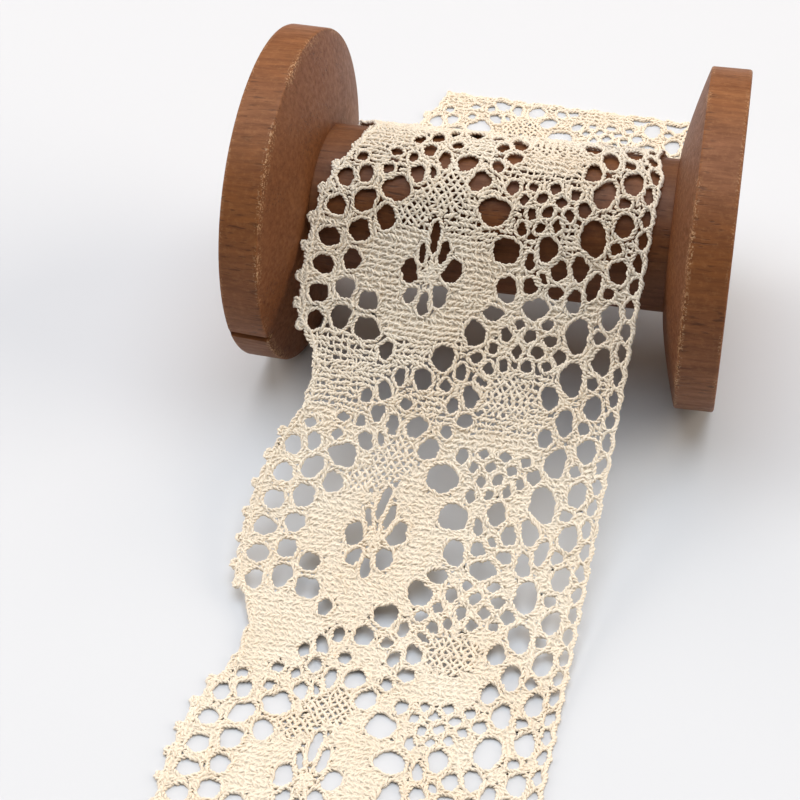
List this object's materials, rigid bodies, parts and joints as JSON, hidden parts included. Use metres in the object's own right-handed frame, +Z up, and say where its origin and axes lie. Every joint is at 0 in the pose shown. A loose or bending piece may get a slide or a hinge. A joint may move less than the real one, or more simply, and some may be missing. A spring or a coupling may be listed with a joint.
{
  "type": "wooden spool with lace ribbon",
  "caption": "Turned wooden spool standing on its two round flanges, with a length of cotton lace ribbon laid over the core and down to the surface in front and behind.",
  "frame": {"origin": "under the middle of the whole object, on the surface it stands on", "axes": "+X along the spool's axis to the right, +Y away from the end of the ribbon that falls in front, +Z up"},
  "size_m": [0.1225, 0.288, 0.0848],
  "materials": {
    "wood": "brown stain, satin",
    "cotton": "matt ecru cotton"
  },
  "bodies": {
    "root": {"core": "wood", "flange_left": "wood", "flange_right": "wood", "lace_ribbon": "cotton"}
  },
  "joints": []
}
